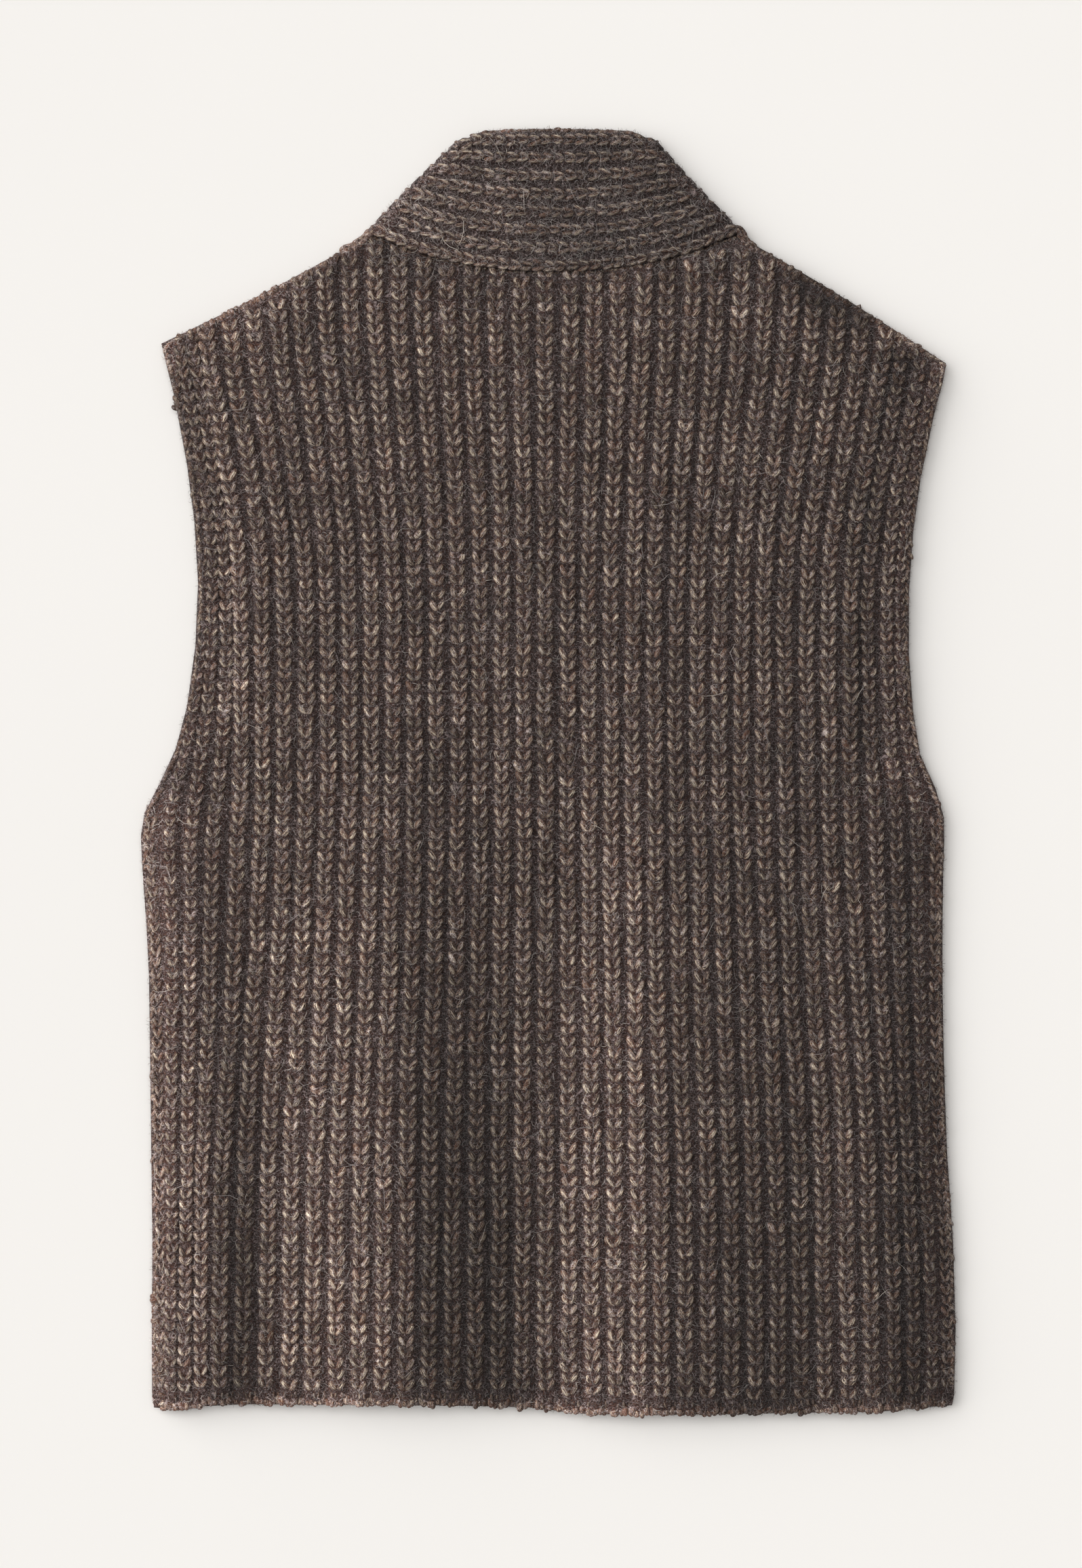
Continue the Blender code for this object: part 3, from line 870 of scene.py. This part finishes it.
def stripSections():
    # (seam point, free-edge point, turn, way out, bow) from the left hem to the right one
    halves = []
    for side, seam, corner, outward, bow in strip["folds"]:
        front = []
        for seamY in strip["frontHeights"]:
            spread = max(seamY - strip["edgesMeet"], 0.0) / (seam[1] - strip["edgesMeet"])
            edgeY = seamY + (corner[1] - seam[1]) * spread
            rise = max(edgeY - strip["edgesMeet"], 0.0) / (corner[1] - strip["edgesMeet"])
            edgeX = max(abs(corner[0]) * rise ** strip["edgeCurve"], strip["frontGap"] / 2)
            seamX = bandSeamX(seamY, abs(seam[0]))
            front.append(((side * seamX, seamY), (side * edgeX, edgeY), -90, (0.0, 0.0), 0.0))
        hem = [(side * x, hemY(side * x) + strip["inset"])
               for x in (strip["bandWidth"], strip["frontGap"] / 2)]
        front.append((*hem, -90, (0.0, 0.0), 0.0))
        turns = [(seam, corner, angle, outward, bow) for angle in reversed(strip["foldAngles"])]
        halves.append(front[::-1] + turns)
    (leftSeam, leftCorner), (rightSeam, rightCorner) = [row[1:3] for row in strip["folds"]]
    seamLift, liftShare = strip["seamLift"]
    across = []
    for share in strip["backShares"]:
        fromFold = min(share, 1 - share)
        seamX = leftSeam[0] + (rightSeam[0] - leftSeam[0]) * share
        seamY = necklineY(seamX) + strip["gap"] + seamLift * (1 - smooth(fromFold / liftShare))
        edgeX = leftCorner[0] + (rightCorner[0] - leftCorner[0]) * share
        cornerY = leftCorner[1] + (rightCorner[1] - leftCorner[1]) * share
        lift = (strip["topY"] - strip["topBow"] - cornerY) * smooth(fromFold / strip["edgeLift"])
        edgeY = cornerY + lift + strip["topBow"] * math.sin(math.pi * share)
        across.append(((seamX, seamY), (edgeX, edgeY), 90, (0.0, 0.0), 0.0))
    return halves[0] + across + halves[1][::-1]


sections = stripSections()


def stripLine(place):
    # (points, ways up) along the strip at one place across it
    points, ups = [], []
    upperWall = strip["backWall"] + strip["ribHeight"]
    for seam, edge, degrees, outward, bow in sections:
        turn = math.radians(degrees)
        upperShare = smooth((1 + math.sin(turn)) / 2)
        wall = strip["frontWall"] + (upperWall - strip["frontWall"]) * upperShare
        radius = strip["gap"] / 2 + wall
        reach = radius * math.cos(turn) + bow * math.sin(math.pi * place)
        points.append((seam[0] + (edge[0] - seam[0]) * place + outward[0] * reach,
                       seam[1] + (edge[1] - seam[1]) * place + outward[1] * reach,
                       strip["frontWall"] + strip["gap"] / 2 + radius * math.sin(turn)))
        ups.append((outward[0] * math.cos(turn), outward[1] * math.cos(turn), math.sin(turn)))
    return np.array(points), np.array(ups)


def resample(points, values, step, start, reach=1.5):
    # places every step along a line, with the line's direction and the values there
    pieces = np.linalg.norm(np.diff(points, axis=0), axis=1)
    lengths = np.concatenate(([0.0], np.cumsum(pieces)))
    wanted = np.arange(start, lengths[-1] - start, step)

    def read(table, at):
        return np.stack([np.interp(at, lengths, table[:, i]) for i in range(3)], axis=1)

    ways = unit(read(points, wanted + reach) - read(points, wanted - reach))
    return read(points, wanted), ways, unit(read(values, wanted))


collarStitch = dict(stitch, spread=1.8, tilt=16.0, roll=30.0, halfWide=1.4, halfLong=4.0,
                    halfTall=1.15, dive=0.9, proud=0.1, pale=1.0)
# The legs are short and pressed flat where the collar folds over.
foldStitch = dict(collarStitch, roll=5.0, halfLong=2.8, halfTall=0.9, dive=1.3, proud=-0.75,
                  uneven=0.1, pale=0.5)
collarRows = {
    "row": 6.65,
    "start": 3.5,
    "shift": 2.0,  # the rows of two ribs don't line up
    "felted": 0.6,  # no stitches where the fold is steeper than this
    "lowerLift": 0.9,
    "lowerSquash": 0.75,
    "ahead": 5.5,  # a stitch is pressed flat if the collar ends this near,
    "drop": 0.8,  # by being this much lower there
}
upperLegs, lowerLegs = [], []


def addCollarRib(number):
    points, ups = stripLine(strip["firstRib"] + strip["ribStep"] * number)
    start = collarRows["start"] + rng.uniform(0, collarRows["shift"])
    for spot, way, up in zip(*resample(points, ups, collarRows["row"], start)):
        up = unit(up - way * np.dot(way, up))
        if abs(up[2]) < collarRows["felted"]:
            continue
        lower = up[2] < 0
        if lower:
            spot = spot + (0, 0, collarRows["lowerLift"])
        ends = [heightOf("collar", *(spot + way * step)[:2]) or 0.0
                for step in (-collarRows["ahead"], collarRows["ahead"])]
        folded = abs(up[2]) < 0.99 or (not lower and min(ends) < spot[2] - collarRows["drop"])
        folded = folded and not (number == 0 and up[2] > 0.9)  # the seam's chain runs to its end
        addStitch(lowerLegs if lower else upperLegs, spot, way, up,
                  look=foldStitch if folded else collarStitch,
                  squash=collarRows["lowerSquash"] if lower else 1.0,
                  settle=onCollar if folded else None, shade=collarToneAndPaintedShade(*spot))


for number in range(strip["ribs"]):
    addCollarRib(number)
clothPieces["collar"]["with"].append(joinLegs("collarStitches", upperLegs, legTemplate))
clothPieces["collar"]["with"].append(joinLegs("bandStitches", lowerLegs, flatTemplate))
print("collar stitches made")

# The fronts' outside, which the garment lies on.
frontRows = {"fromBand": 6.0, "fromHem": 6.0, "squash": 0.7, "level": 0.95,
             "half": 4.0}  # a stitch is left out where this reaches past the cloth


def addFront(name, node, side):
    legs = []
    low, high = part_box(node)
    x = side * (strip["bandWidth"] + frontRows["fromBand"])
    while low.x / mm + 2 < x < high.x / mm - 2:
        for y in np.arange(low.y / mm + frontRows["fromHem"], high.y / mm, stitch["row"]):
            if None not in [heightOf(node, x + d, y) for d in (-frontRows["half"], frontRows["half"])]:
                addStitch(legs, np.array((x, y, frontRows["level"])), np.array((0.0, -1.0, 0.0)),
                          np.array((0.0, 0.0, -1.0)), squash=frontRows["squash"])
        x += side * rib["usualPitch"]
    clothPieces[node]["with"].append(joinLegs(name, legs, flatTemplate))


addFront("frontLeftStitches", "front_left", -1)
addFront("frontRightStitches", "front_right", 1)
print("front stitches made")

# Edges: a chain of small stitches down each side seam, and short slanted ones along the rims.
edge = {
    "chain": dict(stitch, spread=1.5, tilt=24.0, roll=24.0, halfWide=1.4, halfLong=3.9,
                  halfTall=1.2, dive=0.9, proud=0.0, pale=0.5),
    "chainSpots": (-400.0, -12.0, 4.9, 6.7, 9.0),  # from, to, inset, step, start
    "lean": 26.0,  # the rims' stitches lean out, and vary by the four below
    "slantNoise": 10.0,
    "sizeNoise": 0.14,
    "placeNoise": 0.35,
    "turnNoise": 0.3,
    "sunk": 0.2,
    "rims": (
        # outline, from and to (y at the sides, else x), inset, step, half sizes, slant, pale, tone,
        # scallop
        ("hem", -230, 230, 2.3, 2.4, (2.1, 2.8, 0.9), 84, 0.1, 0.95, 0.7),
        ("hem", -226, 226, 6.0, 3.3, (0.9, 2.2, 0.6), 84, 0.4, 0.95, 0.0),
        ("top", -224, -108, 2.2, 2.4, (1.8, 2.4, 0.8), 62, 0.15, 0.95, 0.0),
        ("top", 113, 224, 2.2, 2.4, (1.8, 2.4, 0.8), 62, 0.15, 0.95, 0.0),
        ("top", -106, 112, 0.6, 2.8, (1.3, 2.4, 1.2), 18, 0.4, 0.95, 0.0),
        ("collarTop", -44, 55, 1.3, 2.8, (1.2, 2.6, 0.9), 20, 0.15, 1.1, 0.0),
        ("left", -355, 255, 2.2, 3.3, (1.4, 2.8, 1.0), 162, 0.2, 0.9, 0.0),
        ("right", -355, 255, 1.9, 3.3, (1.4, 2.8, 1.2), 155, 0.5, 1.0, 0.0),
    ),
    # where the collar's two ends are sewn down on the shoulders: lines along the outline there
    "corners": (
        (-1, ((-104.6, 310.6), (-107.2, 307.6), (-112.6, 304.0), (-119.5, 301.0))),
        (1, ((111.2, 312.4), (113.4, 309.0), (115.0, 306.0), (118.6, 302.6))),
    ),
    "cornerLayers": ((0.9, 4.4), (1.2, 7.0), (3.0, 8.6)),  # inset, height
    "cornerSize": (1.5, 2.4, 1.7),
    "cornerSteps": (1.7, 0.2),  # step, start
}
edgeLegs = []


def flatLine(points):
    return np.pad(points, ((0, 0), (0, 1)))


def edgeSpots(name, low, high, inset, step, start):
    # places every step inside an outline, with its way and the way out
    points, outs = outlines[name]
    axis = 1 if name in ("left", "right") else 0
    keep = (points[:, axis] > low) & (points[:, axis] < high)
    line = points[keep] - outs[keep] * inset
    return zip(*resample(flatLine(line), flatLine(outs[keep]), step, start))


def addChain(name):
    for spot, way, _ in edgeSpots(name, *edge["chainSpots"]):
        up = slopeUp(*spot[:2], 2.5)
        tip = unit(-way - up * np.dot(-way, up))
        addStitch(edgeLegs, spot, tip, up, look=edge["chain"], settle=onBack,
                  shade=clothToneAndPaintedShade(*spot[:2]))


def addRim(name, low, high, inset, step, halves, slant, pale, tone, scallop):
    node = "collar" if "collar" in name else "back"
    for spot, way, out in edgeSpots(name, low, high, inset, step, 1.0):
        pitch = np.interp(spot[1], ribPitch[:, 0], ribPitch[:, 1])
        spot = spot + out * scallop * math.cos(2 * math.pi * (spot[0] - rib["centre"]) / pitch)
        level = heightOf(node, *spot[:2])
        if level is None:
            continue
        turn = math.radians(slant + rng.normal(0, edge["slantNoise"]))
        along = way * math.cos(turn) + out * math.sin(turn)
        lean = math.radians(edge["lean"])
        up = np.array((0, 0, math.cos(lean))) + out * math.sin(lean)
        made = np.array(halves) * rng.normal(1, edge["sizeNoise"], 3)
        centre = np.array((*spot[:2], level - edge["sunk"]))
        centre = centre + rng.normal(0, edge["placeNoise"], 3)
        shade = tone * (clothToneAndPaintedShade if node == "back" else collarToneAndPaintedShade)(*spot[:2])
        edgeLegs.append((*centre, *along, *up, *made, 0.6, *legTone(pale, shade)))


def addCorner(side, line):
    line = flatLine(np.array(line))
    for inset, height in edge["cornerLayers"]:
        for spot, way, _ in zip(*resample(line, line, *edge["cornerSteps"])):
            out = np.array((way[1], -way[0], 0.0)) * -side
            along = unit(way + out * rng.normal(0, edge["turnNoise"]))
            centre = spot - out * inset + (0, 0, height) + rng.normal(0, 0.25, 3)
            made = np.array(edge["cornerSize"]) * rng.normal(1, edge["sizeNoise"], 3)
            edgeLegs.append((*centre, *along, *unit(out + (0, 0, 1.0)), *made, 0.8,
                             *legTone(0.2, collarToneAndPaintedShade(*spot[:2]))))


for side in ("left", "right"):
    addChain(side)
for row in edge["rims"]:
    addRim(*row)
for corner in edge["corners"]:
    addCorner(*corner)
clothPieces["back"]["with"].append(joinLegs("edgeStitches", edgeLegs, legTemplate))
print("edges made")

# Stray fibres: curly ones over the cloth, and short ones out of its edges.
fuzz = {
    "segments": 4,
    "radius": 0.1,
    "each": 4900,
    "onCollar": 2400,
    "longShare": 0.05,
    "short": (2.5, 7.5),  # mm long
    "long": (11.0, 25.0),
    "shortLift": (0.3, 1.3),
    "longLift": (1.5, 3.0),
    "shortCurl": 0.75,
    "longCurl": 0.45,
    "keepBend": 0.6,  # how much of its last bend a fibre keeps
    "off": 0.9,  # mm over the cloth
    "sag": 0.4,  # at each station past the cloth's edge
    "edgeStep": 0.42,
    "edgeInset": (0.2, 2.6),
    "edgeLength": (0.8, 3.2),
    "edgeSpread": 0.8,
    "edgeCurl": 0.5,
    "edgeRise": 0.8,
}


def fibreTemplate():
    # a thin three-sided spindle, pointed at both ends
    bm = bmesh.new()
    bmesh.ops.create_uvsphere(bm, u_segments=3, v_segments=fuzz["segments"], radius=1.0)
    bmesh.ops.triangulate(bm, faces=bm.faces)
    return templateArrays(bm)


fibreShape = fibreTemplate()


def fibrePaths(starts, headings, lengths, curls):
    # curly flat paths, as (fibres, stations, 2)
    stations = fuzz["segments"] + 1
    paths = np.zeros((len(starts), stations, 2))
    here, way = starts.copy(), headings.copy()
    bend = rng.normal(0, 1, len(starts)) * curls
    for station in range(stations):
        paths[:, station] = here
        step = (lengths / (stations - 1))[:, None]
        here = here + np.stack([np.cos(way), np.sin(way)], axis=1) * step
        bend = fuzz["keepBend"] * bend + rng.normal(0, 1, len(starts)) * curls
        way = way + bend
    return paths


def joinFibres(name, paths, radii, tones):
    points, triangles = fibreShape
    at = np.rint(np.arccos(np.clip(points[:, 2], -1, 1)) / math.pi * fuzz["segments"]).astype(int)
    ways = unit(np.gradient(paths, axis=1))
    sides = unit(np.cross(ways, (0.0, 0.0, 1.0)))
    ups = np.cross(sides, ways)
    x, y = points[None, :, 0:1] * radii[:, None, None], points[None, :, 1:2] * radii[:, None, None]
    made = paths[:, at] + sides[:, at] * x + ups[:, at] * y
    faces = triangles[None] + (np.arange(len(paths)) * len(points))[:, None, None]
    return joinedPiece(name, made.reshape(-1, 3), faces.reshape(-1, 3),
                       {"tone": np.repeat(tones, len(points), axis=0)}, fuzzFibre)


def fibreTones(starts):
    # which grey, and the cloth's lightness there, with its painted shade
    count = len(starts)
    shades = [(collarToneAndPaintedShade if heightOf("back", x, y) is None else clothToneAndPaintedShade)(x, y)
              for x, y in starts]
    return np.stack([np.clip(rng.normal(0.5, 0.24, count), 0, 1), shades, np.zeros(count)], axis=1)


def scatterFibres(name, count, lowX, highX, lowY, highY):
    starts = []
    while len(starts) < count:
        x, y = rng.uniform(lowX, highX), rng.uniform(lowY, highY)
        if heightOf("back", x, y) is not None or heightOf("collar", x, y) is not None:
            starts.append((x, y))
    isLong = rng.random(count) < fuzz["longShare"]
    lengths = np.where(isLong, rng.uniform(*fuzz["long"], count), rng.uniform(*fuzz["short"], count))
    lift = np.where(isLong, rng.uniform(*fuzz["longLift"], count),
                    rng.uniform(*fuzz["shortLift"], count))
    flat = fibrePaths(np.array(starts), rng.uniform(0, 2 * math.pi, count), lengths,
                      np.where(isLong, fuzz["longCurl"], fuzz["shortCurl"]))
    paths = np.zeros((*flat.shape[:2], 3))
    paths[:, :, :2] = flat
    off = np.zeros(count, int)
    for fibre in range(count):
        level = 5.0
        for station, (x, y) in enumerate(flat[fibre]):
            found = heightOf("back", x, y) or heightOf("collar", x, y)
            off[fibre] += found is None
            level = level - fuzz["sag"] if found is None else found
            paths[fibre, station, 2] = level
    arch = np.sin(np.linspace(0.15, 0.97, flat.shape[1]) * math.pi)
    paths[:, :, 2] += fuzz["off"] + arch * lift[:, None] + rng.normal(0, 0.2, flat.shape[:2])
    kept = off < np.where(isLong, 1, 3)  # a long one never hangs far out over the floor
    radii, tones = fuzz["radius"] * rng.uniform(0.7, 1.2, count), fibreTones(starts)
    return joinFibres(name, paths[kept], radii[kept], tones[kept])


def edgeFibres(name):
    starts, headings, levels = [], [], []
    for outline in outlines:
        node = "collar" if "collar" in outline else "back"
        for spot, _, out in edgeSpots(outline, -400, 400, 0, fuzz["edgeStep"], 0.5):
            inner = spot - out * rng.uniform(*fuzz["edgeInset"])
            top = heightOf(node, *inner[:2])
            if top is None:
                continue
            starts.append(inner[:2])
            headings.append(math.atan2(out[1], out[0]) + rng.normal(0, fuzz["edgeSpread"]))
            levels.append(top * rng.uniform(0.45, 1.0) + 0.3)
    count = len(starts)
    lengths = rng.uniform(*fuzz["edgeLength"], count)
    flat = fibrePaths(np.array(starts), np.array(headings), lengths,
                      np.full(count, fuzz["edgeCurl"]))
    rises = rng.normal(0, fuzz["edgeRise"], (count, 1))
    heights = np.array(levels)[:, None] + np.linspace(0, 1, flat.shape[1]) * rises
    paths = np.concatenate([flat, np.maximum(heights, 0.3)[:, :, None]], axis=2)
    return joinFibres(name, paths, fuzz["radius"] * rng.uniform(0.8, 1.4, count),
                      fibreTones(starts) * (0.9, 1, 1))


for row in (("fibresLeft", fuzz["each"], -234, -78, -366, 300),
            ("fibresMiddle", fuzz["each"], -78, 78, -366, 300),
            ("fibresRight", fuzz["each"], 78, 234, -366, 300),
            ("fibresCollar", fuzz["onCollar"], -104, 112, 290, 369)):
    clothPieces["back"]["with"].append(scatterFibres(*row))
clothPieces["back"]["with"].append(edgeFibres("fibresEdge"))
print("fibres made")

# Hide the solids that the cloth and its stitches replace.
for node, made in clothPieces.items():
    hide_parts(node)
